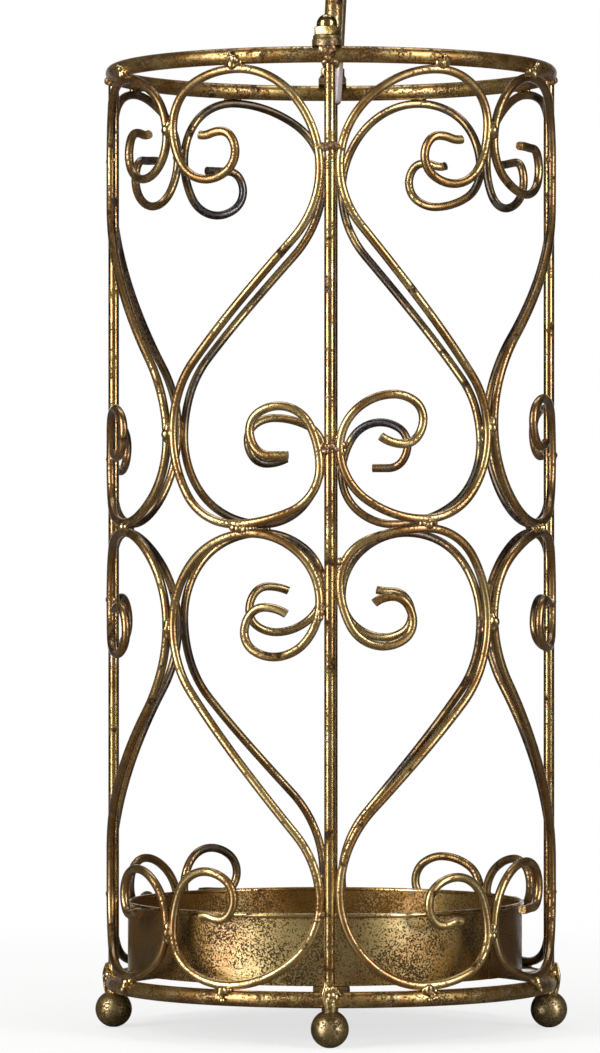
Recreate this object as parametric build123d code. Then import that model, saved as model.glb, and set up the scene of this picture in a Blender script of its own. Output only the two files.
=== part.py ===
from build123d import *
from math import acos, asin, atan2, cos, degrees, hypot, pi, radians, sin, sqrt
import os

# Umbrella stand of welded rod and wire, in millimetres.
# +Z is up, the floor is z = 0, the front is -Y and the axis of the cage is x = y = 0.

# Rings and posts
ring_radius = 121.0
ring_rod = 8.8
lower_ring_z = 25.4
upper_ring_z = 529.4
post_rod = 6.0

# Scrolls: the wire, how far it stands outside the posts, and the room left for a weld
scroll_wire = 4.8
scroll_proud = 1.5
weld_gap = 0.15
diagonal_bend = 62.0

# Loop at the ring end: level distances start at its far side, depths at the ring
ring_loop_lean = 5.0
ring_loop_start = 50.0
ring_loop_far = 33.0
ring_curl = (23.5, 59.0)
ring_curl_inner = (41.0, 44.5)
ring_curl_hook = (32.0, 33.5)
ring_curl_tip = (20.5, 35.0)

# Loop at the middle end: level distances start at its far side, depths at the middle
middle_loop_lean = 5.0
middle_loop_start = 49.5
middle_loop_far = 35.5
middle_curl = (26.0, 64.5)
middle_curl_inner = (42.5, 51.5)
middle_curl_hook = (31.0, 38.0)
middle_curl_tip = (20.5, 40.0)

# How far hand bending moved the places of each scroll, in the order of bend_names:
# the two curls (level, deeper), where it leaves the post and reaches its neighbour, its tops at the ring
# and the middle, the far sides of its loops, the radius of its long bends, and its two tips (level, deeper)
bend_names = ("ring_curl", "middle_curl", "start", "end", "peak", "low", "ring_far", "middle_far", "bend",
              "ring_tip", "middle_tip")
hand_bends = {
    "upper_front_left": ((0.5, -0.5), (-4, -1.5), -4, 0, -3, 8, -3.5, -5, -6, (-1.5, 0), (0.5, -2)),
    "upper_front_right": ((0.5, 2), (3.5, 2), -2.5, -4, 6.5, 7, -5, 2.5, -12, (-2.5, 0), (-2, 2)),
    "upper_right_front": ((6.5, 5), (6.5, 4), 8, 4.5, 4, 5, 4, 0, 6, (-4, -2), (0.5, 0.5)),
    "upper_right_back": ((-6, 4), (-1, 0), 8, 6, 5, 5, 4, 4, 8, (-4, -1), (0, 0)),
    "upper_back_right": ((7.5, 1), (-3.5, -5.5), 0, -3.5, -5, -9, 6.5, -7, -4, (-3, 0.5), (1, -2)),
    "upper_back_left": ((-0.5, 6), (2.5, -3), 7.5, 0.5, 3.5, -4, 1.5, 7, 5.5, (-3.5, -1.5), (-1.5, 1)),
    "upper_left_back": ((-0.5, 3), (-5.5, -8.5), 8, 5, 0, 5, 0, 4.5, -7.5, (-4, -2), (0, 0)),
    "upper_left_front": ((-3, -3), (-0.5, -1.5), 8, -4, -4.5, 5, 1, -4, 6, (-2, 0), (0, 0)),
    "lower_front_left": ((-0.5, 1.5), (-1, 1.5), 4.5, 0, 2.5, -1.5, -6, 1, -6, (0, 0), (-1.5, 1.5)),
    "lower_front_right": ((-2, -1.5), (-2.5, -1.5), 0, 0, -1.5, 9, -7, -6.5, 3, (0, 0), (0.5, 1.5)),
    "lower_right_front": ((6, 4.5), (-2, -1), 8, -4, -0.5, -2.5, -4, -0.5, -3.5, (-0.5, -2), (0, 0)),
    "lower_right_back": ((2, -1.5), (-2, -1), 5.5, 0, 3, 5, 3, 5, -3.5, (0, 0), (0, 0)),
    "lower_back_right": ((3.5, -2.5), (-1, -4), 8, 1.5, 0, -1, 4, 1, -1, (0, 0), (1, -3)),
    "lower_back_left": ((-4.5, 2.5), (1.5, -7), 4, -1, 0, -3.5, 7, -3.5, 6, (-4, -1), (-1.5, 0.5)),
    "lower_left_back": ((6.5, -1), (-4, -1.5), 8, 5, 4.5, -3, -3.5, 3.5, -7.5, (-2, 2), (0, 0)),
    "lower_left_front": ((4, 0.5), (3.5, 2.5), 8, 1, 1.5, 4.5, -3, 0, 7.5, (0, 0), (0, 0)),
}

# Where the two tiers meet above or below the middle
meeting_lifts = {"front_left": -0.8, "front_right": 2.0}

# Weld beads, laid in the outer groove between two wires
bead_radius = 2.2
bead_sink = 0.2
bead_aside = 1.5
post_bead_reach = 5.0

# Ball feet
ball_diameter = 20.4
ball_flat = 0.2
neck_diameter = 8.0

# Flat bars under the tray
bar_width = 18.0
bar_thickness = 1.8
bar_notch_gap = 0.3

# Drip tray, and the room left between its wall and the posts
tray_room = 8.5
tray_height = 38.8
tray_sheet = 1.0
tray_hem_height = 2.2
tray_hem = 0.8
tray_lap_angle = 5.0
tray_lap_at = 55.0
tray_shift = -3.5
tray_fit = 0.2
tray_floor_gap = 0.2

# Carrying handle
handle_rod = 9.5
handle_leg = 90.0
handle_leg_below = 6.5
handle_tip_round = 2.5
handle_side = 0.7
handle_lean = 3.0

# Tabs, studs, washers and acorn nuts that hold the handle, and how far each set sits to the right
fixing_sides = {"front": -1.5, "back": 0.0}
tab_width = 16.0
tab_thickness = 3.4
stud_diameter = 8.0
stud_clearance = 0.4
stud_in_nut = 6.5
washer_diameter = 15.0
washer_thickness = 2.4
washer_room = 0.5
nut_across_flats = 13.0
nut_hex_height = 4.4
nut_dome_diameter = 10.2
nut_dome_straight = 1.6
nut_bore_gap = 0.1
nut_bore_depth = 7.5

# Values worked out from those above
scroll_radius = ring_radius + scroll_proud
ring_top = upper_ring_z + ring_rod / 2
middle_z = (lower_ring_z + upper_ring_z) / 2
ball_radius = ball_diameter / 2
tray_radius = ring_radius - post_rod / 2 - tray_room
handle_inward = washer_diameter / 2 + handle_rod / 2 + washer_room
octant = radians(45)
octant_width = octant * scroll_radius

# Where a scroll's wire meets the post, its neighbour, the middle and the ring
post_contact = (post_rod + scroll_wire) / 2 + weld_gap
post_side_cosine = (ring_radius**2 + scroll_radius**2 - post_contact**2) / (2 * ring_radius * scroll_radius)
post_side = scroll_radius * acos(post_side_cosine)
joint_side = octant_width - scroll_radius * asin((scroll_wire + weld_gap) / 2 / scroll_radius)
middle_rise = (scroll_wire + weld_gap) / 2
ring_drop = sqrt(((ring_rod + scroll_wire) / 2 + weld_gap) ** 2 - scroll_proud**2)
scroll_top = upper_ring_z - ring_drop
scroll_bottom = middle_z + middle_rise

# The posts and, beside each, the two scrolls that lean on it
post_names = ("front", "right", "back", "left")
neighbours = {
    "front": (("right", 1), ("left", -1)),
    "right": (("back", 1), ("front", -1)),
    "back": (("left", 1), ("right", -1)),
    "left": (("front", 1), ("back", -1)),
}


def around(radius, angle, z):
    # A point at an angle counted from the front towards +X
    return Vector(radius * sin(angle), -radius * cos(angle), z)


def post_angle(name):
    return post_names.index(name) * pi / 2


def ring(z):
    return Pos(0, 0, z) * Torus(ring_radius, ring_rod / 2)


def post(name, rings):
    shaft = extrude(Circle(post_rod / 2), upper_ring_z - lower_ring_z)
    shaft = Pos(around(ring_radius, post_angle(name), lower_ring_z)) * shaft
    for cut in rings:
        shaft -= cut
    return shaft


def loop_turns(far, touch, sign, turns, bend, tip_bend):
    # The places where a curl runs level or upright, from the tip of the wire to the far side
    moved = [(across + bend[0], depth + bend[1]) for across, depth in turns]
    moved[0] = (moved[0][0] + tip_bend[0], moved[0][1] + tip_bend[1])
    return [(far + sign * across, touch + sign * depth) for across, depth in moved]


def bends_of(tier, post_name, side_name):
    return dict(zip(bend_names, hand_bends[f"{tier}_{post_name}_{side_name}"]))


def meeting_lift(tier, post_name, side_name):
    # How far from the middle plane, away from the other tier, a scroll meets its twin
    lift = meeting_lifts.get(f"{post_name}_{side_name}", 0.0)
    return lift if tier == "upper" else -lift


def scroll_touches(tier, post_name, side_name):
    # Level distances and heights at which a scroll of the upper tier touches what it is welded to
    bends = bends_of(tier, post_name, side_name)
    centre = (post_side + joint_side) / 2
    bottom = scroll_bottom + meeting_lift(tier, post_name, side_name)
    return {
        "start": (post_side, scroll_top - ring_loop_start + bends["start"]),
        "peak": (centre + ring_loop_lean + bends["peak"], scroll_top),
        "ring_far": (joint_side, scroll_top - ring_loop_far - bends["ring_far"]),
        "end": (joint_side, bottom + middle_loop_start + bends["end"]),
        "low": (centre - middle_loop_lean + bends["low"], bottom),
        "middle_far": (post_side, bottom + middle_loop_far + bends["middle_far"]),
    }


def scroll_stations(tier, post_name, side_name):
    # Places and directions along one flat scroll of the upper tier, from the ring tip to the middle tip
    bends = bends_of(tier, post_name, side_name)
    touches = scroll_touches(tier, post_name, side_name)
    start, end, low = touches["start"], touches["end"], touches["low"]
    left, right, up, down = (-1, 0), (1, 0), (0, 1), (0, -1)

    ring_turns = (ring_curl_tip, ring_curl_hook, ring_curl_inner, ring_curl)
    ring_bends = (bends["ring_curl"], bends["ring_tip"])
    tip, hook, inner, curl = loop_turns(joint_side, scroll_top, -1, ring_turns, *ring_bends)
    first = [(tip, None), (hook, left), (inner, down), (curl, right), (touches["ring_far"], up)]
    first += [(touches["peak"], left), (start, down)]

    middle_turns = (middle_curl_tip, middle_curl_hook, middle_curl_inner, middle_curl)
    middle_bends = (bends["middle_curl"], bends["middle_tip"])
    tip, hook, inner, curl = loop_turns(post_side, low[1], 1, middle_turns, *middle_bends)
    last = [(end, down), (low, left), (touches["middle_far"], up)]
    last += [(curl, right), (inner, down), (hook, left), (tip, None)]
    return first + diagonal(start, end, diagonal_bend + bends["bend"]) + last


def diagonal(start, end, radius):
    # The straight run between two equal bends that leave the start and reach the end upright
    level = end[0] - start[0] - 2 * radius
    drop = start[1] - end[1]
    slope = atan2(level, drop) + asin(2 * radius / hypot(level, drop))
    across = radius * (1 - cos(slope))
    along = radius * sin(slope)
    heading = (sin(slope), -cos(slope))
    return [((start[0] + across, start[1] - along), heading), ((end[0] - across, end[1] + along), heading)]


def straight_tips(stations):
    # The tips run on from their hooks as one even bend
    for tip, hook, sign in ((0, 1, -1), (-1, -2, 1)):
        (tip_u, tip_z), (hook_u, hook_z) = stations[tip][0], stations[hook][0]
        chord = atan2(tip_z - hook_z, hook_u - tip_u)
        stations[tip] = ((tip_u, tip_z), (-cos(2 * chord), sign * sin(2 * chord)))
    return stations


def wrap(station, angle, side, upper):
    # A flat station laid on the cage's cylinder, as a point and a direction
    (level, z), (run, rise) = station
    turned = angle + side * level / scroll_radius
    if not upper:
        z = 2 * middle_z - z
        rise = -rise
    direction = Vector(side * run * cos(turned), side * run * sin(turned), rise)
    return around(scroll_radius, turned, z), direction.normalized()


def biarc(start, start_way, end, end_way):
    # Two arcs that leave the start and reach the end along the given directions
    span = end - start
    ways = start_way + end_way
    spread = 2 * (1 - start_way.dot(end_way))
    if spread < 1e-9:
        reach = span.dot(span) / (4 * span.dot(end_way))
    else:
        run = span.dot(ways)
        reach = (sqrt(run**2 + spread * span.dot(span)) - run) / spread
    first = start + start_way * reach
    second = end - end_way * reach
    meeting = (first + second) / 2
    return [TangentArc(start, meeting, tangent=start_way), TangentArc(meeting, end, tangent=second - first)]


def scroll(tier, post_name, side_name, side):
    stations = straight_tips(scroll_stations(tier, post_name, side_name))
    path = [wrap(station, post_angle(post_name), side, tier == "upper") for station in stations]
    arcs = []
    for (start, start_way), (end, end_way) in zip(path, path[1:]):
        arcs += biarc(start, start_way, end, end_way)
    section = Plane(origin=path[0][0], z_dir=path[0][1]) * Circle(scroll_wire / 2)
    return sweep(section, path=Wire(arcs))


def bead(radius, angle, z, cuts):
    # A round bead in the outer groove beside a contact, seated on the wires that it joins
    facing = Rot(0, 0, degrees(angle) - 90)
    lump = Pos(around(radius + bead_radius - bead_sink, angle, z)) * facing * Sphere(bead_radius)
    for cut in cuts:
        lump -= cut
    return lump


def ball_foot(name, lower_ring):
    place = around(ring_radius, post_angle(name), 0)
    ball = Pos(0, 0, ball_radius - ball_flat) * Sphere(ball_radius)
    neck = Pos(0, 0, ball_radius) * extrude(Circle(neck_diameter / 2), lower_ring_z - ball_radius)
    below_floor = Pos(0, 0, -ball_radius) * Cylinder(ball_radius, 2 * ball_radius)
    return Pos(place) * (ball + neck - below_floor) - lower_ring


def tray_bars():
    # One bar from front to back and two half bars that butt against it, notched round the posts
    bar_bottom = lower_ring_z + ring_rod / 2
    reach = Pos(0, 0, bar_bottom) * extrude(Circle(ring_radius), bar_thickness)
    notch = extrude(Circle(post_rod / 2 + bar_notch_gap), upper_ring_z)
    middle = bar_bottom + bar_thickness / 2
    long_bar = Pos(0, 0, middle) * Box(bar_width, 2 * ring_radius, bar_thickness) & reach
    side_length = ring_radius - bar_width / 2
    side_bars = []
    for side in (1, -1):
        place = Pos(side * (bar_width / 2 + side_length / 2), 0, middle)
        side_bars.append(place * Box(side_length, bar_width, bar_thickness) & reach)
    bars = {"tray_bar_front_to_back": long_bar, "tray_bar_right": side_bars[0], "tray_bar_left": side_bars[1]}
    for bar_name in bars:
        for name in post_names:
            bars[bar_name] -= Pos(around(ring_radius, post_angle(name), 0)) * notch
    return bars


def tray():
    # A rolled wall with a hemmed rim and a lapped seam, round a flat floor
    bottom = lower_ring_z + ring_rod / 2 + bar_thickness + tray_fit
    outside = tray_radius + tray_hem
    place = Pos(tray_shift, 0, bottom)
    hem_foot = tray_height - tray_hem_height
    wall = extrude(Circle(tray_radius) - Circle(tray_radius - tray_sheet), tray_height)
    hem_band = extrude(Circle(outside) - Circle(tray_radius), tray_hem_height)
    wall += Pos(0, 0, hem_foot) * hem_band
    rim = wall.edges().group_by(Axis.Z)[-1]
    wall = fillet(rim, tray_hem / 2)
    lap_start = Rot(0, 0, tray_lap_at - 90)
    lap = revolve(Plane.XZ * Pos(tray_radius + tray_hem / 2, hem_foot / 2) * Rectangle(tray_hem, hem_foot),
                  Axis.Z, tray_lap_angle)
    wall += lap_start * lap
    floor = extrude(Circle(tray_radius - tray_sheet - tray_floor_gap), tray_sheet)
    return {"tray_wall": place * wall, "tray_floor": place * floor}


def handle():
    # An arch of rod whose legs stand just inside the ring, leaning a little to the right
    leg_y = ring_radius - handle_inward
    foot = upper_ring_z - handle_leg_below
    shoulder = upper_ring_z + handle_leg
    front_leg = Line((0, -leg_y, foot), (0, -leg_y, shoulder))
    arch = ThreePointArc((0, -leg_y, shoulder), (0, 0, shoulder + leg_y), (0, leg_y, shoulder))
    back_leg = Line((0, leg_y, shoulder), (0, leg_y, foot))
    section = Pos(0, -leg_y, foot) * Circle(handle_rod / 2)
    rod = sweep(section, path=Wire([front_leg, arch, back_leg]))
    rod = fillet(rod.edges().group_by(Axis.Z)[0], handle_tip_round)
    lean = Pos(handle_side, 0, upper_ring_z) * Rot(0, handle_lean, 0) * Pos(0, 0, -upper_ring_z)
    return lean * rod


def handle_fixing(name, handle_arch, upper_ring):
    # The tab welded to a leg, the stud on the ring, the washer and the acorn nut of one side
    front = -1 if name == "front" else 1
    place = Pos(fixing_sides[name], front * ring_radius, 0)
    plate = Circle(tab_width / 2) + Pos(0, -front * handle_inward / 2) * Rectangle(tab_width, handle_inward)
    hole = Circle((stud_diameter + stud_clearance) / 2)
    tab = place * Pos(0, 0, ring_top) * extrude(plate - hole, tab_thickness) - handle_arch

    washer_z = ring_top + tab_thickness
    washer = place * Pos(0, 0, washer_z) * extrude(Circle(washer_diameter / 2) - hole, washer_thickness)

    nut_z = washer_z + washer_thickness
    stud_length = nut_z + stud_in_nut - upper_ring_z
    stud = place * Pos(0, 0, upper_ring_z) * extrude(Circle(stud_diameter / 2), stud_length) - upper_ring
    return {
        f"handle_tab_{name}": tab,
        f"stud_{name}": stud,
        f"washer_{name}": washer,
        f"acorn_nut_{name}": place * Pos(0, 0, nut_z) * acorn_nut(),
    }


def acorn_nut():
    outline = RegularPolygon(nut_across_flats / 2, 6, major_radius=False, rotation=30)
    hexagon = extrude(outline, nut_hex_height)
    dome_radius = nut_dome_diameter / 2
    straight = nut_hex_height + nut_dome_straight
    dome = extrude(Circle(dome_radius), straight) + Pos(0, 0, straight) * Sphere(dome_radius)
    below = Pos(0, 0, -nut_across_flats) * Box(2 * nut_across_flats, 2 * nut_across_flats, 2 * nut_across_flats)
    bore = extrude(Circle(stud_diameter / 2 + nut_bore_gap), nut_bore_depth)
    return hexagon + (dome - below) - bore


def all_scrolls():
    made = {}
    for tier in ("upper", "lower"):
        for post_name in post_names:
            for side_name, side in neighbours[post_name]:
                made[f"scroll_{tier}_{post_name}_{side_name}"] = scroll(tier, post_name, side_name, side)
    return made


def mean_touch(scrolls, touch, part):
    # The mean of one touch's level (0) or height (1) over the named scrolls
    return sum(scroll_touches(*name)[touch][part] for name in scrolls) / len(scrolls)


def weld_groups(scrolls, posts, rings):
    at_rings, at_posts, between, at_middle = [], [], [], []
    ring_reach = ring_drop * ring_rod / (ring_rod + scroll_wire)
    ring_out = scroll_proud * ring_rod / (ring_rod + scroll_wire)
    tiers = (("upper", upper_ring_z, rings[1], 1), ("lower", lower_ring_z, rings[0], -1))
    for name in post_names:
        angle = post_angle(name)
        (right_name, _), (left_name, _) = neighbours[name]
        for tier, ring_z, ring_body, sign in tiers:
            pair = [(tier, name, right_name), (tier, name, left_name)]
            bodies = [scrolls["scroll_" + "_".join(part)] for part in pair]
            for touch in ("start", "middle_far"):
                z = middle_z + sign * (mean_touch(pair, touch, 1) - middle_z)
                at_posts.append(post_bead(angle, z, [posts[name]] + bodies))
            for part, body, side in zip(pair, bodies, (1, -1)):
                turned = angle + side * (mean_touch([part], "peak", 0) + bead_aside) / scroll_radius
                contact_z = ring_z - sign * ring_reach
                at_rings.append(bead(ring_radius + ring_out, turned, contact_z, [ring_body, body]))
            meeting = [(tier, name, right_name), (tier, right_name, name)]
            meeting_bodies = [scrolls["scroll_" + "_".join(part)] for part in meeting]
            for touch in ("ring_far", "end"):
                z = middle_z + sign * (mean_touch(meeting, touch, 1) + bead_aside - middle_z)
                between.append(bead(scroll_radius, angle + octant, z, meeting_bodies))
        for side_name, side in neighbours[name]:
            stacked = [(tier, name, side_name) for tier in ("upper", "lower")]
            turned = angle + side * (mean_touch(stacked, "low", 0) + bead_aside) / scroll_radius
            z = middle_z + meeting_lift("upper", name, side_name)
            stacked_bodies = [scrolls["scroll_" + "_".join(part)] for part in stacked]
            at_middle.append(bead(scroll_radius, turned, z, stacked_bodies))
    return {
        "welds_at_rings": at_rings,
        "welds_at_posts": at_posts,
        "welds_between_scrolls": between,
        "welds_at_middle": at_middle,
    }


def post_bead(angle, z, cuts):
    # A bead laid across the outside of a post, from one scroll to the other
    bar = Rot(0, 90, 0) * Cylinder(bead_radius, 2 * post_bead_reach)
    bar += Pos(post_bead_reach, 0, 0) * Sphere(bead_radius) + Pos(-post_bead_reach, 0, 0) * Sphere(bead_radius)
    outside = max(ring_radius + post_rod / 2, scroll_radius + scroll_wire / 2)
    lump = Pos(around(outside, angle, z)) * Rot(0, 0, degrees(angle)) * bar
    for cut in cuts:
        lump -= cut
    return lump


def main():
    os.makedirs("parts", exist_ok=True)
    lower_ring, upper_ring = ring(lower_ring_z), ring(upper_ring_z)
    rings = (lower_ring, upper_ring)
    posts = {name: post(name, rings) for name in post_names}
    scrolls = all_scrolls()
    arch = handle()
    nodes = {"lower_ring": lower_ring, "upper_ring": upper_ring, "carrying_handle": arch}
    nodes |= {f"post_{name}": posts[name] for name in post_names}
    nodes |= {f"ball_foot_{name}": ball_foot(name, lower_ring) for name in post_names}
    nodes |= scrolls | tray_bars() | tray()
    for name in ("front", "back"):
        nodes |= handle_fixing(name, arch, upper_ring)
    for name, beads in weld_groups(scrolls, posts, rings).items():
        nodes[name] = Compound(beads)
    for name, body in nodes.items():
        export_step(body, f"parts/{name}.step")


main()
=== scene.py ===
import bpy
from math import atan2, cos, pi, radians, sin
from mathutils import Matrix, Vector
from random import Random


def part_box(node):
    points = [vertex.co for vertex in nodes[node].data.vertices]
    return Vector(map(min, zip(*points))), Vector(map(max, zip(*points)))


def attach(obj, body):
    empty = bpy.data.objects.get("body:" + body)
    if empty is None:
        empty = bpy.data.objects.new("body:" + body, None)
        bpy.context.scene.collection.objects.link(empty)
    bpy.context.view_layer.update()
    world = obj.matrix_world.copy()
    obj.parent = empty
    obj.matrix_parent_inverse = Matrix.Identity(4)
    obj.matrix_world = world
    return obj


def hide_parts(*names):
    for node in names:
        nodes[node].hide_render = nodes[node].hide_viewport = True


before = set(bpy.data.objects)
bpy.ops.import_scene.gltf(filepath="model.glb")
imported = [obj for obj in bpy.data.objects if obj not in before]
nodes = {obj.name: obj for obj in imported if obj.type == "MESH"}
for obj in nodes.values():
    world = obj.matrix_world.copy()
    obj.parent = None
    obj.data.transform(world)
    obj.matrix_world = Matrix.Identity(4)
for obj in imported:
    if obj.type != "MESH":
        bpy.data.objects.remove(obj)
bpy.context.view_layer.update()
scene = bpy.context.scene
scene.view_settings.view_transform = "Standard"
mm = 0.001
print("frame loaded:", len(nodes), "nodes")


# places about the stand's axis: an angle counted from the front towards the right, then metres
def onCage(angle, along, outward, height):
    x = outward * sin(angle) + along * cos(angle)
    y = -outward * cos(angle) + along * sin(angle)
    return Vector((x, y, height))


def deselect():
    bpy.ops.object.select_all(action="DESELECT")


def applyPlace():
    bpy.ops.object.transform_apply(location=True, rotation=True, scale=True)


# camera: level, a little right of the front post, with the stand right of the middle of the picture
shot = {"turn": 0.7, "away": 2.904, "height": 0.2679, "aside": -0.01735, "lens": 178.56, "sensor": 36,
        "lift": 18.5 / 1053, "farthest": 50}  # lift is a share of the picture's height


def placeCamera():
    turn = radians(shot["turn"])
    bpy.ops.object.camera_add()
    camera = bpy.context.object
    camera.name = "photoCamera"
    camera.location = onCage(turn, shot["aside"], shot["away"], shot["height"])
    camera.rotation_euler = (pi / 2, 0, turn)
    camera.data.sensor_width = shot["sensor"]
    camera.data.lens = shot["lens"]
    camera.data.shift_y = shot["lift"]
    camera.data.clip_end = shot["farthest"]
    scene.camera = camera


# node helpers
def freshTree(owner):
    owner.use_nodes = True
    owner.node_tree.nodes.clear()
    return owner.node_tree


def addNode(tree, kind, **values):
    node = tree.nodes.new(kind)
    for name, value in values.items():
        setattr(node, name, value)
    return node


def setInputs(node, **values):
    for name, value in values.items():
        node.inputs[name.replace("_", " ")].default_value = value
    return node


# how many finer layers each noise pattern has, and how rough they are
noiseKinds = {"clouds": (4, 0.6), "worn": (8, 0.72), "clumps": (3, 0.55), "flecks": (3, 0.6), "grain": (2, 0.5),
              "dents": (2, 0.4)}


def noise(tree, vector, scale, kind):
    detail, rough = noiseKinds[kind]
    node = setInputs(addNode(tree, "ShaderNodeTexNoise"), Scale=scale, Detail=detail, Roughness=rough)
    tree.links.new(vector, node.inputs["Vector"])
    return node.outputs["Fac"]


def ramp(tree, value, low, high, lowOut=0.0, highOut=1.0):
    node = addNode(tree, "ShaderNodeMapRange", interpolation_type="SMOOTHSTEP")
    setInputs(node, From_Min=low, From_Max=high, To_Min=lowOut, To_Max=highOut)
    tree.links.new(value, node.inputs["Value"])
    return node.outputs["Result"]


def sums(tree, operation, first, second):
    node = addNode(tree, "ShaderNodeMath", operation=operation, use_clamp=True)
    tree.links.new(first, node.inputs[0])
    tree.links.new(second, node.inputs[1])
    return node.outputs[0]


def vectorSums(tree, operation, first, second=None):
    node = addNode(tree, "ShaderNodeVectorMath", operation=operation)
    tree.links.new(first, node.inputs[0])
    if isinstance(second, tuple):
        node.inputs[1].default_value = second
    elif second is not None:
        tree.links.new(second, node.inputs[1])
    return node.outputs


def axes(tree, vector):
    node = addNode(tree, "ShaderNodeSeparateXYZ")
    tree.links.new(vector, node.inputs[0])
    return node.outputs


def blendColours(tree, share, first, second):
    node = addNode(tree, "ShaderNodeMix", data_type="RGBA")
    tree.links.new(share, node.inputs["Factor"])
    for socket, value in ((node.inputs[6], first), (node.inputs[7], second)):  # the node's two colours
        if isinstance(value, tuple):
            socket.default_value = (*value, 1)
        else:
            tree.links.new(value, socket)
    return node.outputs[2]  # the blended colour


def blendShaders(tree, share, first, second):
    node = addNode(tree, "ShaderNodeMixShader")
    for socket, value in zip(node.inputs, (share, first, second)):
        tree.links.new(value, socket)
    return node.outputs[0]


# world: white where the camera looks; in the metal's reflections a dim studio with a white backdrop.
# the From and To values say how far back a reflection looks, from -1 at the camera to 1 behind the stand
studio = {"fill": 0.38, "front": 0.16, "frontTo": -0.9, "sides": 0.02, "sidesFrom": 0.0,
          "backdrop": 1.0, "backdropFrom": 0.90, "backdropTo": 0.975}


def lightWorld():
    scene.world = bpy.data.worlds.new("studio")
    tree = freshTree(scene.world)
    output = addNode(tree, "ShaderNodeOutputWorld")
    path = addNode(tree, "ShaderNodeLightPath")
    place = addNode(tree, "ShaderNodeTexCoord")
    away = axes(tree, place.outputs["Generated"])["Y"]
    dim = ramp(tree, away, studio["frontTo"], studio["sidesFrom"], studio["front"], studio["sides"])
    backdrop = ramp(tree, away, studio["backdropFrom"], studio["backdropTo"], 0.0, studio["backdrop"])
    mirror, fill, white = (addNode(tree, "ShaderNodeBackground") for part in range(3))
    for background in (mirror, fill, white):
        setInputs(background, Color=(1, 1, 1, 1))
    tree.links.new(sums(tree, "MAXIMUM", dim, backdrop), mirror.inputs["Strength"])
    setInputs(fill, Strength=studio["fill"])
    glossy = sums(tree, "MAXIMUM", path.outputs["Is Glossy Ray"], path.outputs["Is Transmission Ray"])
    lit = blendShaders(tree, glossy, fill.outputs[0], mirror.outputs[0])
    seen = blendShaders(tree, path.outputs["Is Camera Ray"], lit, white.outputs[0])
    tree.links.new(seen, output.inputs[0])


# soft boxes: azimuth from the front, height, distance, width, tallness and power
softBoxes = {
    "leftBox": {"azimuth": -50, "height": 0.95, "away": 2.1, "wide": 0.9, "tall": 1.8, "power": 44},
    "rightBox": {"azimuth": 50, "height": 1.05, "away": 2.1, "wide": 0.7, "tall": 1.8, "power": 29},
    "topBox": {"azimuth": 180, "height": 2.4, "away": 0.7, "wide": 1.6, "tall": 1.0, "power": 13},
}
aimHeight = 0.28  # all of them look at the middle of the cage


def hangLights():
    aim = Vector((0, 0, aimHeight))
    for name, box in softBoxes.items():
        place = onCage(radians(box["azimuth"]), 0, box["away"], box["height"])
        bpy.ops.object.light_add(type="AREA", location=place)
        light = bpy.context.object
        light.name = name
        light.rotation_euler = (aim - place).to_track_quat("-Z", "Y").to_euler()
        light.data.shape = "RECTANGLE"
        light.data.size = box["wide"]
        light.data.size_y = box["tall"]
        light.data.energy = box["power"]


# floor: pale, with a light shadow near the stand, fading into the white background.
# in the metal's reflections it is darker and polished: shade, sheen, sheenRough and bend
floorLook = {"half": 6.0, "colour": (0.90, 0.892, 0.884), "glow": 0.72, "fadeFrom": 0.30, "fadeTo": 0.9,
             "shade": (0.11, 0.105, 0.10), "sheen": (0.9, 0.9, 0.9), "sheenRough": 0.12, "bend": 1.6}


def layFloor():
    deselect()
    bpy.ops.mesh.primitive_plane_add(size=2 * floorLook["half"])
    floor = bpy.context.object
    floor.name = "studioFloor"
    material = bpy.data.materials.new("paleFloor")
    tree = freshTree(material)
    output = addNode(tree, "ShaderNodeOutputMaterial")
    place = addNode(tree, "ShaderNodeTexCoord")
    path = addNode(tree, "ShaderNodeLightPath")
    reach = vectorSums(tree, "LENGTH", place.outputs["Object"])["Value"]
    fade = ramp(tree, reach, floorLook["fadeFrom"], floorLook["fadeTo"], floorLook["glow"], 1.0)
    seen = sums(tree, "MULTIPLY", fade, path.outputs["Is Camera Ray"])
    paint = setInputs(addNode(tree, "ShaderNodeBsdfDiffuse"), Color=(*floorLook["colour"], 1))
    glow = setInputs(addNode(tree, "ShaderNodeEmission"), Strength=1.0)
    sheen = setInputs(addNode(tree, "ShaderNodeBsdfGlossy"), Color=(*floorLook["sheen"], 1),
                      Roughness=floorLook["sheenRough"])
    shade = setInputs(addNode(tree, "ShaderNodeBsdfDiffuse"), Color=(*floorLook["shade"], 1))
    slant = setInputs(addNode(tree, "ShaderNodeFresnel"), IOR=floorLook["bend"])
    mirrored = blendShaders(tree, slant.outputs[0], shade.outputs[0], sheen.outputs[0])
    plain = blendShaders(tree, path.outputs["Is Glossy Ray"], paint.outputs[0], mirrored)
    tree.links.new(blendShaders(tree, seen, plain, glow.outputs[0]), output.inputs[0])
    floor.data.materials.append(material)


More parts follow.
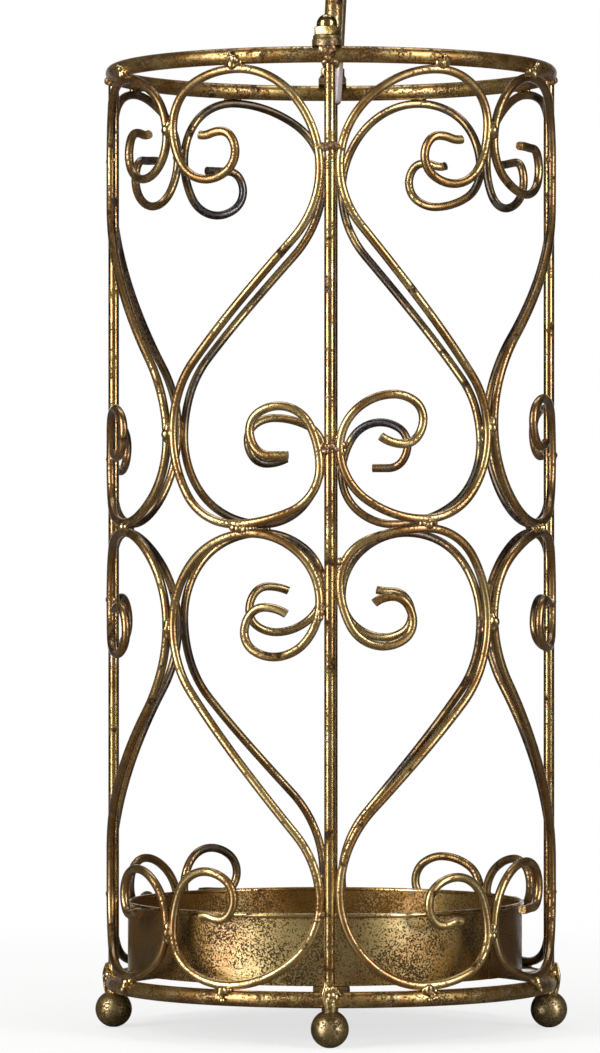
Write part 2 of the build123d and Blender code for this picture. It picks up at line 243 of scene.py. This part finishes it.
# finishes: lacquered gold with amber clouds, ragged dark patina, clumps of dark specks, clumps of pale specks that
# are partly pale flecks in the paint and partly painted glints, and a fine grain.
# clouds and worn are (scale, low, high), specks and glints (scale, clumps' scale, low, high, share),
# grain and dent (scale, depth), and missed has the (spot, size) of each place that the gold left bare.
# the lacquer is gone where patina or inner side reach the share lacquerGone
rodGold = {"gold": (0.54, 0.358, 0.108), "amber": (0.33, 0.170, 0.036), "patina": (0.034, 0.017, 0.006),
           "pale": (0.84, 0.71, 0.44), "steel": (0.085, 0.078, 0.078),
           "clouds": (38, 0.42, 0.58), "worn": (75, 0.54, 0.64), "specks": (900, 60, 0.56, 0.68, 0.85),
           "glints": (1000, 70, 0.56, 0.70, 0.55), "crowding": 0.8, "grain": (1300, 0.00003),
           "smooth": 0.22, "rough": 0.5, "shine": 0.1, "patinaMetal": 0.3,
           "lacquer": 1.0, "lacquerGone": 0.8, "bend": 1.65, "gloss": 0.12,
           "dent": None, "inside": None, "ends": None, "flankShade": None, "bare": None, "missed": [], "missedEdge": 0.7}
# in wireGold the wires at the stand's left and right are painted browner: painted shade
wireGold = {**rodGold, "gold": (0.60, 0.415, 0.155), "amber": (0.41, 0.207, 0.046), "smooth": 0.32, "gloss": 0.16,
            "clouds": (24, 0.43, 0.59), "worn": (70, 0.54, 0.65), "specks": (820, 50, 0.53, 0.63, 0.82),
            "crowding": 0.7, "glints": (820, 60, 0.57, 0.70, 0.4), "grain": (1300, 0.000015),
            "missed": [((-0.062, 0.107, 0.455), 0.030), ((-0.108, 0.062, 0.500), 0.020),
                       ((0.026, 0.121, 0.333), 0.018)],
            "inside": {"colour": (0.070, 0.059, 0.052), "least": 0.12, "most": 0.92},
            "flankShade": {"colour": (0.36, 0.185, 0.058), "from": 0.075, "to": 0.112, "share": 0.7}}
postGold = {**rodGold, "gold": (0.52, 0.335, 0.094), "amber": (0.33, 0.165, 0.034), "worn": (75, 0.52, 0.63),
            "lacquer": 0.8}
ringGold = {**rodGold, "gold": (0.60, 0.390, 0.120), "amber": (0.38, 0.180, 0.038), "clouds": (60, 0.42, 0.60),
            "specks": (780, 70, 0.49, 0.57, 0.92), "crowding": 0.6, "glints": (900, 80, 0.54, 0.66, 0.6),
            "smooth": 0.36, "lacquer": 0.5, "gloss": 0.25, "grain": (900, 0.00006)}
# the handle's finish is a paler copy of the rod gold, raised so that its highlight bands come out brighter: painted
# highlight
handleHighlightGold = {**rodGold, "gold": (0.86, 0.64, 0.30), "amber": (0.46, 0.260, 0.070), "smooth": 0.34, "lacquer": 0.9,
              "gloss": 0.22, "specks": (850, 60, 0.54, 0.66, 0.85), "grain": (900, 0.00005),
              "bare": {"colour": (0.39, 0.335, 0.35), "below": 0.552, "fade": 0.015, "behind": 0.01}}
# in trayGold the tray's ends, which face the stand's left and right, are painted dark brown: painted shade
trayGold = {**rodGold, "gold": (0.56, 0.405, 0.150), "amber": (0.43, 0.222, 0.040), "clouds": (17, 0.43, 0.62),
            "patina": (0.022, 0.009, 0.002), "worn": (48, 0.57, 0.69), "specks": (980, 40, 0.484, 0.552, 0.93),
            "crowding": 0.45, "glints": (900, 36, 0.54, 0.62, 0.3), "smooth": 0.36, "gloss": 0.20,
            "grain": (1100, 0.00010), "dent": (20, 0.003),
            "inside": {"colour": (0.20, 0.092, 0.016), "least": 0.25, "most": 0.6},
            "ends": {"colour": (0.085, 0.042, 0.011), "from": 0.72, "to": 0.97, "share": 0.75}}
rimGold = {**rodGold, "gold": (0.56, 0.36, 0.10), "amber": (0.36, 0.19, 0.04), "worn": (60, 0.58, 0.70)}
footBronze = {**rodGold, "gold": (0.46, 0.330, 0.130), "amber": (0.25, 0.155, 0.050), "smooth": 0.38, "gloss": 0.26,
              "specks": (800, 90, 0.48, 0.60, 0.9), "grain": (900, 0.00006)}
plateBronze = {**footBronze, "gold": (0.30, 0.195, 0.070), "amber": (0.18, 0.100, 0.028), "smooth": 0.46,
               "gloss": 0.36}
nutBrass = {**rodGold, "gold": (0.44, 0.285, 0.085), "amber": (0.30, 0.165, 0.038), "worn": (120, 0.58, 0.70),
            "specks": (850, 120, 0.54, 0.66, 0.8), "grain": (900, 0.00004)}
weldGold = {**rodGold, "gold": (0.66, 0.47, 0.19), "amber": (0.38, 0.205, 0.050), "clouds": (140, 0.40, 0.64),
            "worn": (110, 0.55, 0.68), "smooth": 0.3, "grain": (700, 0.00003)}
scaleBrown = {**weldGold, "gold": (0.50, 0.300, 0.110), "amber": (0.28, 0.118, 0.042), "smooth": 0.42, "gloss": 0.3,
              "specks": (850, 120, 0.50, 0.62, 0.85), "grain": (800, 0.00008)}
looks = {"rodGold": rodGold, "wireGold": wireGold, "postGold": postGold, "ringGold": ringGold,
         "handleHighlightGold": handleHighlightGold, "trayGold": trayGold, "rimGold": rimGold, "footBronze": footBronze,
         "plateBronze": plateBronze, "nutBrass": nutBrass, "weldGold": weldGold, "scaleBrown": scaleBrown}
finishes = {}


# fine specks that crowd together where a broader pattern is high
def specks(tree, where, look, crowding):
    fine, broad, low, high, share = look
    crowd = addNode(tree, "ShaderNodeMath", operation="MULTIPLY_ADD")
    crowd.inputs[1].default_value = crowding
    tree.links.new(noise(tree, where, broad, "clumps"), crowd.inputs[0])
    tree.links.new(noise(tree, where, fine, "flecks"), crowd.inputs[2])
    mean = addNode(tree, "ShaderNodeMath", operation="SUBTRACT")
    mean.inputs[1].default_value = crowding / 2
    tree.links.new(crowd.outputs[0], mean.inputs[0])
    return ramp(tree, mean.outputs[0], low, high, 0.0, share)


# sides that face the stand's axis are darker, in patches: on the wires where the gold missed them, and on the tray's
# inner wall, which is a darker reddish brown.
# full and none say how a side faces, from -1 straight inwards to 1 straight outwards
innerSides = {"full": -0.65, "none": -0.05, "patches": 22, "patchLow": 0.44, "patchHigh": 0.60}


def insideShare(tree, place, look):
    where = place.outputs["Object"]
    flat = vectorSums(tree, "MULTIPLY", where, (1, 1, 0))["Vector"]
    outwards = vectorSums(tree, "NORMALIZE", flat)["Vector"]
    facing = vectorSums(tree, "DOT_PRODUCT", outwards, place.outputs["Normal"])["Value"]
    inside = ramp(tree, facing, innerSides["full"], innerSides["none"], 1.0, 0.0)
    patches = noise(tree, where, innerSides["patches"], "clumps")
    missed = ramp(tree, patches, innerSides["patchLow"], innerSides["patchHigh"], look["least"], look["most"])
    return sums(tree, "MULTIPLY", inside, missed)


# how far a place lies, or a surface faces, to the stand's left or right: painted shade, these sides are painted
# browner, and the tray's ends dark brown, for the dim reflections they get
def sideShadeShare(tree, vector, look):
    across = addNode(tree, "ShaderNodeMath", operation="ABSOLUTE")
    tree.links.new(axes(tree, vector)["X"], across.inputs[0])
    return ramp(tree, across.outputs[0], look["from"], look["to"], 0.0, look["share"])


# the handle's back leg has no gold near its lower end
def bareShare(tree, where, look):
    split = axes(tree, where)
    low = ramp(tree, split["Z"], look["below"] - look["fade"], look["below"], 1.0, 0.0)
    return sums(tree, "MULTIPLY", low, ramp(tree, split["Y"], 0.0, look["behind"]))


def addBump(tree, where, look, kind):
    scale, depth = look
    node = setInputs(addNode(tree, "ShaderNodeBump"), Strength=1.0, Distance=depth)
    tree.links.new(noise(tree, where, scale, kind), node.inputs["Height"])
    return node


def antiqueGold(name, look):
    material = bpy.data.materials.new(name)
    tree = freshTree(material)
    output = addNode(tree, "ShaderNodeOutputMaterial")
    surface = addNode(tree, "ShaderNodeBsdfPrincipled")
    setInputs(surface, Specular_IOR_Level=look["shine"], Coat_Roughness=look["gloss"], Coat_IOR=look["bend"])
    tree.links.new(surface.outputs[0], output.inputs[0])
    place = addNode(tree, "ShaderNodeTexCoord")
    where = place.outputs["Object"]
    cloudScale, cloudLow, cloudHigh = look["clouds"]
    wornScale, wornLow, wornHigh = look["worn"]
    clouds = ramp(tree, noise(tree, where, cloudScale, "clouds"), cloudLow, cloudHigh)
    worn = ramp(tree, noise(tree, where, wornScale, "worn"), wornLow, wornHigh)
    dark = sums(tree, "MAXIMUM", worn, specks(tree, where, look["specks"], look["crowding"]))
    gold = blendColours(tree, clouds, look["gold"], look["amber"])
    # painted shade: the wires towards the stand's left and right are painted browner
    if look["flankShade"]:
        gold = blendColours(tree, sideShadeShare(tree, where, look["flankShade"]), gold, look["flankShade"]["colour"])
    # pale specks: partly pale flecks in the paint, partly painted glints that stand for sparkle in the highlights
    bright = blendColours(tree, specks(tree, where, look["glints"], look["crowding"]), gold, look["pale"])
    colour = blendColours(tree, dark, bright, look["patina"])
    matt = dark
    if look["inside"]:
        inner = insideShare(tree, place, look["inside"])
        colour = blendColours(tree, inner, colour, look["inside"]["colour"])
        matt = sums(tree, "MAXIMUM", dark, inner)
    metal = ramp(tree, dark, 0.0, 1.0, 1.0, look["patinaMetal"])
    for spot, size in look["missed"]:
        apart = vectorSums(tree, "DISTANCE", where, spot)["Value"]
        missed = ramp(tree, apart, size * look["missedEdge"], size, 1.0, 0.0)
        colour = blendColours(tree, missed, colour, look["steel"])
    # painted shade: surfaces that face the stand's left or right, the tray's ends, are painted dark brown
    if look["ends"]:
        facing = sideShadeShare(tree, place.outputs["Normal"], look["ends"])
        colour = blendColours(tree, facing, colour, look["ends"]["colour"])
    if look["bare"]:
        bare = bareShare(tree, where, look["bare"])
        colour = blendColours(tree, bare, colour, look["bare"]["colour"])
        metal = sums(tree, "SUBTRACT", metal, bare)
    tree.links.new(colour, surface.inputs["Base Color"])
    tree.links.new(metal, surface.inputs["Metallic"])
    tree.links.new(ramp(tree, dark, 0.0, 1.0, look["smooth"], look["rough"]), surface.inputs["Roughness"])
    lacquer = ramp(tree, matt, 0.0, look["lacquerGone"], look["lacquer"], 0.0)
    tree.links.new(lacquer, surface.inputs["Coat Weight"])
    grain = addBump(tree, where, look["grain"], "grain")
    if look["dent"]:
        dents = addBump(tree, where, look["dent"], "dents")
        tree.links.new(dents.outputs[0], grain.inputs["Normal"])
    for socket in ("Normal", "Coat Normal"):
        tree.links.new(grain.outputs[0], surface.inputs[socket])
    return material


def mixFinishes():
    for name, look in looks.items():
        finishes[name] = antiqueGold(name, look)


# how the names of the frame's nodes start, and their finish; the flat bars are rodGold
nodeFinishes = {"scroll": "wireGold", "post": "postGold", "tray_wall": "trayGold", "tray_floor": "trayGold",
                "ball": "footBronze", "acorn": "nutBrass", "washer": "plateBronze", "upper_ring": "ringGold",
                "lower_ring": "ringGold", "carrying": "handleHighlightGold", "stud": "nutBrass",
                "handle_tab": "plateBronze", "welds": "weldGold"}


def paintNodes():
    for name, node in nodes.items():
        finish = "rodGold"
        for start, kind in nodeFinishes.items():
            if name.startswith(start):
                finish = kind
        node.data.materials.clear()
        node.data.materials.append(finishes[finish])


# out-of-true lumps and waves
def addLumps(piece, size, strength, direction="NORMAL"):
    lumps = piece.modifiers.new("lumps", "DISPLACE")
    lumps.texture = bpy.data.textures.new(piece.name + "Lumps", "CLOUDS")
    lumps.texture.noise_scale = size
    lumps.texture_coords = "LOCAL"
    lumps.direction = direction
    lumps.strength = strength


# melted metal: spheres flowed together, softened and roughened, in millimetres
melts = {
    "lump": {"voxel": 0.42, "soften": 12, "lumps": 0.8},
    "bead": {"voxel": 0.42, "soften": 20, "lumps": 0.45},
    "ridge": {"voxel": 0.4, "soften": 8, "lumps": 0.2},
}
meltShape = {"sphereCuts": 2, "softening": 0.5, "lumpSize": 3.0}


def meltDabs(name, dabs, finish, kind):
    deselect()
    (centre, radius), rest = dabs[0], dabs[1:]
    cuts = meltShape["sphereCuts"]
    bpy.ops.mesh.primitive_ico_sphere_add(subdivisions=cuts, radius=radius, location=centre)
    piece = bpy.context.object
    piece.name = name
    applyPlace()
    bpy.ops.object.mode_set(mode="EDIT")
    for centre, radius in rest:
        bpy.ops.mesh.primitive_ico_sphere_add(subdivisions=cuts, radius=radius, location=centre)
    bpy.ops.object.mode_set(mode="OBJECT")
    flow = piece.modifiers.new("flow", "REMESH")
    flow.mode = "VOXEL"
    flow.voxel_size = melts[kind]["voxel"] * mm
    smooth = piece.modifiers.new("smooth", "SMOOTH")
    smooth.factor = meltShape["softening"]
    smooth.iterations = melts[kind]["soften"]
    addLumps(piece, meltShape["lumpSize"] * mm, melts[kind]["lumps"] * mm)
    for modifier in ("flow", "smooth", "lumps"):
        bpy.ops.object.modifier_apply(modifier=modifier)
    bpy.ops.object.shade_smooth()
    piece.data.materials.append(finishes[finish])
    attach(piece, "frame")
    return piece


# weld beads: dabs of (along, outwards, up, radius) in millimetres about each bead's middle
weldDabs = {
    "welds_at_posts": [(-5.6, -0.9, 0.3, 2.4), (-2.2, 0.6, -0.5, 2.6), (1.6, 0.8, 0.4, 2.5), (5.2, -0.7, -0.4, 2.4)],
    "welds_at_rings": [(-3.2, 0.2, -0.3, 2.2), (0.2, 1.4, 0.4, 2.7), (3.2, 0.4, -0.2, 2.1), (1.0, 2.0, -1.2, 2.0),
                       (-0.8, 2.6, -2.6, 2.0), (0.6, 3.6, -4.6, 1.7)],
    "welds_between_scrolls": [(0.1, -0.5, -3.6, 2.6), (0.4, 0.5, -0.6, 3.1), (-0.3, -0.3, 3.0, 2.7)],
    "welds_at_middle": [(-3.4, -0.6, 0.2, 2.2), (0.2, 0.4, -0.2, 2.7), (3.3, -0.5, 0.3, 2.2)],
}
weldPlay = {"seed": 7, "lift": 0.7, "least": 0.85, "most": 1.12, "slide": 0.6}
# apart is the most that one bead measures, upperRing a height below that ring, and frontPost the angle to each
# side of the front that is left to frontBeads
weldSeat = {"apart": 0.019, "sink": 0.4, "sinkAtPosts": 2.4, "upperRing": 0.3, "frontPost": 0.3}
# the front post's own beads, from the front: (along, height, radius)
frontBeads = [(-6.0, 479.6, 2.1), (-4.4, 480.4, 2.3), (-2.6, 479.4, 2.4), (-0.8, 480.2, 2.4), (1.0, 480.8, 2.5),
              (2.8, 480.2, 2.4), (4.6, 479.8, 2.3), (6.4, 478.4, 2.2),
              (-6.2, 318.4, 2.2), (-3.8, 320.6, 2.2), (-2.2, 317.6, 2.3), (0.4, 320.4, 2.3), (2.6, 323.0, 2.1),
              (4.6, 325.4, 1.8), (4.2, 318.8, 2.3), (6.6, 316.4, 2.0), (8.4, 321.2, 2.2),
              (-5.4, 229, 2.2), (-5.2, 232, 2.7), (-5.0, 235.5, 2.1), (5.8, 255, 2.0), (5.6, 259, 2.4),
              (-6.6, 68, 2.3), (-4.6, 71, 2.5), (5.2, 79, 2.0), (5.4, 83, 2.3), (5.8, 87, 2.0)]
frontReach = {"post": 123.2, "side": 122.9, "postHalf": 3}  # from the axis: on the post, and beside it


# the middles of the separate beads of a weld node
def weldPlaces(node):
    groups = []
    for vertex in nodes[node].data.vertices:
        for group in groups:
            if (vertex.co - group[0]).length < weldSeat["apart"]:
                group.append(vertex.co)
                break
        else:
            groups.append([vertex.co])
    return [sum(group, Vector()) / len(group) for group in groups]


def layWelds():
    chance = Random(weldPlay["seed"])
    for node, pattern in weldDabs.items():
        atPosts = node == "welds_at_posts"
        sink = weldSeat["sinkAtPosts"] if atPosts else weldSeat["sink"]
        dabs = []
        for middle in weldPlaces(node):
            angle = atan2(middle.x, -middle.y)
            if atPosts and abs(angle) < weldSeat["frontPost"]:
                continue
            out = Vector((middle.x, middle.y, 0)).length
            flip = chance.choice((-1, 1))
            rise = -1 if node == "welds_at_rings" and middle.z > weldSeat["upperRing"] else 1
            for along, outward, up, radius in pattern:
                lift = rise * up + chance.uniform(-weldPlay["lift"], weldPlay["lift"])
                size = radius * chance.uniform(weldPlay["least"], weldPlay["most"])
                slide = flip * along + chance.uniform(-weldPlay["slide"], weldPlay["slide"])
                centre = onCage(angle, slide * mm, out + (outward - sink) * mm, middle.z + lift * mm)
                dabs.append((centre, size * mm))
        if atPosts:
            for along, height, radius in frontBeads:
                reach = frontReach["post"] if abs(along) < frontReach["postHalf"] else frontReach["side"]
                dabs.append((onCage(0, along * mm, reach * mm, height * mm), radius * mm))
        finish, kind = ("scaleBrown", "lump") if atPosts else ("weldGold", "bead")
        piece = meltDabs("weldBeads_" + node.split("_")[-1], dabs, finish, kind)
        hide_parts(node)


# the posts' ends: melted metal spread on the rings, (along, outwards from the ring's middle, height, radius)
postEnds = {
    "foot": [(0.0, 3.0, 34.0, 2.2), (-1.4, 3.2, 31.0, 2.4), (1.6, 3.2, 31.0, 2.4), (3.6, 2.8, 29.2, 2.2),
             (-3.0, 2.0, 29.6, 2.2), (0.2, 3.4, 28.0, 2.6), (2.6, 3.4, 27.0, 2.2), (0.2, -2.8, 30.4, 2.6),
             (-0.2, 3.2, 25.0, 2.5), (0.2, 3.0, 22.4, 2.4), (0.3, 2.4, 19.8, 2.5), (-2.6, -0.4, 20.2, 2.2),
             (3.0, -0.4, 20.2, 2.2), (0.2, -3.2, 20.4, 2.3)],
    "head": [(-2.8, 1.2, 525.0, 2.2), (2.9, 1.4, 524.6, 2.2), (0.2, -2.8, 524.6, 2.3), (0.2, 3.0, 526.0, 2.4)],
}
endPlay = {"seed": 3, "slide": 0.4, "least": 0.92, "most": 1.08}
ringRod = 4.4  # radius of the rings' rod
# the ridges left by the torch on the posts' feet: (along, outwards, height, radius) from end to end
footRidges = [[(-2.3, 4.2, 35.0, 0.7), (-2.6, 5.0, 32.0, 1.0), (-3.3, 5.3, 29.2, 1.3), (-2.9, 5.3, 26.0, 1.1),
               (-2.2, 5.0, 22.6, 1.0), (-1.8, 4.2, 19.4, 0.9), (-1.9, 3.8, 17.2, 0.9)],
              [(1.3, 4.4, 35.0, 0.6), (3.8, 5.3, 31.2, 0.65), (6.3, 5.3, 27.8, 0.6)],
              [(2.1, 5.2, 25.0, 0.7), (2.5, 4.8, 22.0, 0.8), (2.4, 4.0, 18.6, 0.8)]]
ridgeSteps = 5  # dabs from one point of a ridge to the next
# the big lump on the front of the upper ring, under the handle's front tab
frontLump = [(-4.2, 3.8, 531.4, 2.6), (-1.6, 5.2, 530.2, 2.9), (1.2, 4.6, 532.0, 2.6), (-2.8, 5.4, 534.2, 2.6),
             (0.4, 5.6, 535.2, 2.4), (-5.0, 4.6, 535.0, 2.2), (-1.2, 4.6, 527.6, 2.4)]


def ringDab(angle, ringMiddle, along, outward, height, radius):
    return onCage(angle, along * mm, (ringMiddle + outward) * mm, height * mm), radius * mm


def ridgeDabs(ridge, angle, ringMiddle):
    dabs = []
    for start, end in zip(ridge, ridge[1:]):
        for step in range(ridgeSteps):
            point = [a + (b - a) * step / ridgeSteps for a, b in zip(start, end)]
            dabs.append(ringDab(angle, ringMiddle, *point))
    return dabs


def weldPostEnds():
    chance = Random(endPlay["seed"])
    ringMiddle = (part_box("lower_ring")[1][0] - ringRod * mm) / mm
    quarters = [quarter * pi / 2 for quarter in range(4)]
    endDabs = {}
    for end, pattern in postEnds.items():
        endDabs[end] = []
        for angle in quarters:
            for along, outward, height, radius in pattern:
                slide = along + chance.uniform(-endPlay["slide"], endPlay["slide"])
                size = radius * chance.uniform(endPlay["least"], endPlay["most"])
                endDabs[end].append(ringDab(angle, ringMiddle, slide, outward, height, size))
    for angle in quarters:
        for ridge in footRidges:
            endDabs["foot"] += ridgeDabs(ridge, angle, ringMiddle)
    endDabs["head"] += [ringDab(0, ringMiddle, *dab) for dab in frontLump]
    meltDabs("postFootWelds", endDabs["foot"], "weldGold", "ridge")
    meltDabs("postHeadWelds", endDabs["head"], "scaleBrown", "lump")


# the tray's rolled rim: a bead a little out of true, in millimetres; tall and inset are shares of the bead
rimShape = {"bead": 1.15, "tall": 1.15, "inset": 0.75, "under": 0.05, "wave": 0.5, "waveSize": 34, "around": 360,
            "sides": 20}


def rollRim():
    deselect()
    low, high = (Vector(corner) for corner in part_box("tray_wall"))
    bead = rimShape["bead"] * mm
    middle = (low + high) / 2
    middle.z = high.z - bead * rimShape["tall"] - rimShape["under"] * mm
    bpy.ops.mesh.primitive_torus_add(location=middle, major_radius=(high.y - low.y) / 2 - bead * rimShape["inset"],
                                     minor_radius=bead, major_segments=rimShape["around"],
                                     minor_segments=rimShape["sides"])
    rim = bpy.context.object
    rim.name = "trayRim"
    applyPlace()
    bpy.ops.object.mode_set(mode="EDIT")
    bpy.ops.mesh.select_all(action="SELECT")
    bpy.ops.transform.resize(value=(1, 1, rimShape["tall"]), center_override=middle)
    bpy.ops.object.mode_set(mode="OBJECT")
    addLumps(rim, rimShape["waveSize"] * mm, rimShape["wave"] * mm, "Z")
    bpy.ops.object.modifier_apply(modifier="lumps")
    bpy.ops.object.shade_smooth()
    rim.data.materials.append(finishes["rimGold"])
    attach(rim, "tray")


# turned pieces: a disc grown upwards through rings of (radius, height) in millimetres
def growRings(profile, sides):
    deselect()
    radius, height = profile[0]
    bpy.ops.mesh.primitive_circle_add(vertices=sides, radius=radius * mm, fill_type="NGON",
                                      location=(0, 0, height * mm))
    piece = bpy.context.object
    applyPlace()
    bpy.ops.object.mode_set(mode="EDIT")
    bpy.ops.mesh.select_all(action="SELECT")
    for nextRadius, nextHeight in profile[1:]:
        bpy.ops.mesh.extrude_region_move(TRANSFORM_OT_translate={"value": (0, 0, (nextHeight - height) * mm)})
        size = nextRadius / radius
        bpy.ops.transform.resize(value=(size, size, 1), center_override=(0, 0, 0))
        radius, height = nextRadius, nextHeight
    bpy.ops.mesh.select_all(action="SELECT")
    bpy.ops.mesh.normals_make_consistent(inside=False)
    bpy.ops.object.mode_set(mode="OBJECT")
    return piece


# acorn nuts: a hexagon with turned corners and a smooth dome on it, in millimetres and degrees.
# the dome starts sunk into the hexagon, with a narrower neck up to neckTop, and is full from flareTop on
nutShape = {"acrossFlats": 13.0, "hexHeight": 4.4, "turnedTo": 6.25, "turnedSlope": 0.577, "domeWide": 11.2,
            "neck": 0.96, "sunk": 0.4, "neckTop": 0.15, "flareTop": 0.4, "straight": 1.3, "tip": 0.03, "steps": 10,
            "turnedSides": 96, "domeSides": 64, "turn": 8, "edge": 0.22, "edgeSteps": 2, "edgeAngle": 28,
            "smoothAngle": 32}


def turnCorners(nut, high):
    bpy.ops.mesh.primitive_cone_add(vertices=nutShape["turnedSides"], depth=high * mm, location=(0, 0, high / 2 * mm),
                                    radius1=(nutShape["turnedTo"] + high / nutShape["turnedSlope"]) * mm,
                                    radius2=nutShape["turnedTo"] * mm)
    cutter = bpy.context.object
    bpy.context.view_layer.objects.active = nut
    turned = nut.modifiers.new("turned", "BOOLEAN")
    turned.operation = "INTERSECT"
    turned.object = cutter
    bpy.ops.object.modifier_apply(modifier="turned")
    bpy.data.objects.remove(cutter)


def makeDome(high):
    dome = nutShape["domeWide"] / 2
    neck = dome * nutShape["neck"]
    rise = high + nutShape["straight"]
    profile = [(neck, high - nutShape["sunk"]), (neck, high + nutShape["neckTop"]),
               (dome, high + nutShape["flareTop"]), (dome, rise)]
    for step in range(1, nutShape["steps"]):
        turn = pi / 2 * step / nutShape["steps"]
        profile.append((dome * cos(turn), rise + dome * sin(turn)))
    profile.append((dome * nutShape["tip"], rise + dome))
    return growRings(profile, nutShape["domeSides"])


def makeNut():
    deselect()
    high = nutShape["hexHeight"]
    corner = nutShape["acrossFlats"] / 2 / cos(pi / 6)
    bpy.ops.mesh.primitive_cylinder_add(vertices=6, radius=corner * mm, depth=high * mm,
                                        location=(0, 0, high / 2 * mm))
    nut = bpy.context.object
    turnCorners(nut, high)
    cap = makeDome(high)
    nut.select_set(True)
    cap.select_set(True)
    bpy.context.view_layer.objects.active = nut
    bpy.ops.object.join()
    applyPlace()
    bevel = nut.modifiers.new("worn", "BEVEL")
    bevel.width = nutShape["edge"] * mm
    bevel.segments = nutShape["edgeSteps"]
    bevel.limit_method = "ANGLE"
    bevel.angle_limit = radians(nutShape["edgeAngle"])
    bpy.ops.object.modifier_apply(modifier="worn")
    bpy.ops.object.shade_smooth_by_angle(angle=radians(nutShape["smoothAngle"]))
    nut.rotation_euler = (0, 0, radians(nutShape["turn"]))
    return nut


# washers: worn round at both edges
washerShape = {"rings": [(6.9, 0.0), (7.4, 0.35), (7.5, 0.8), (7.5, 1.6), (7.35, 2.05), (6.9, 2.4)], "sides": 72,
               "smoothAngle": 40}


def makeWasher():
    washer = growRings(washerShape["rings"], washerShape["sides"])
    bpy.ops.object.shade_smooth_by_angle(angle=radians(washerShape["smoothAngle"]))
    return washer


def placeFixing(piece, name, node, finish):
    piece.name = name
    low, high = (Vector(corner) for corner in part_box(node))
    piece.location = ((low.x + high.x) / 2, (low.y + high.y) / 2, low.z)
    deselect()
    piece.select_set(True)
    bpy.context.view_layer.objects.active = piece
    applyPlace()
    piece.data.materials.append(finishes[finish])
    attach(piece, "frame")
    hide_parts(node)


def fixHandle():
    fixings = ((makeNut(), "acornNut", "acorn_nut_", "nutBrass"), (makeWasher(), "washer", "washer_", "plateBronze"))
    for piece, name, node, finish in fixings:
        other = piece.copy()
        other.data = piece.data.copy()
        scene.collection.objects.link(other)
        placeFixing(piece, name + "Front", node + "front", finish)
        placeFixing(other, name + "Back", node + "back", finish)


placeCamera()
lightWorld()
hangLights()
layFloor()
print("camera, light and floor in place")
mixFinishes()
paintNodes()
print("finishes on the frame:", ", ".join(finishes))
layWelds()
weldPostEnds()
print("weld beads laid")
rollRim()
print("tray rim rolled")
fixHandle()
print("nuts and washers in place")
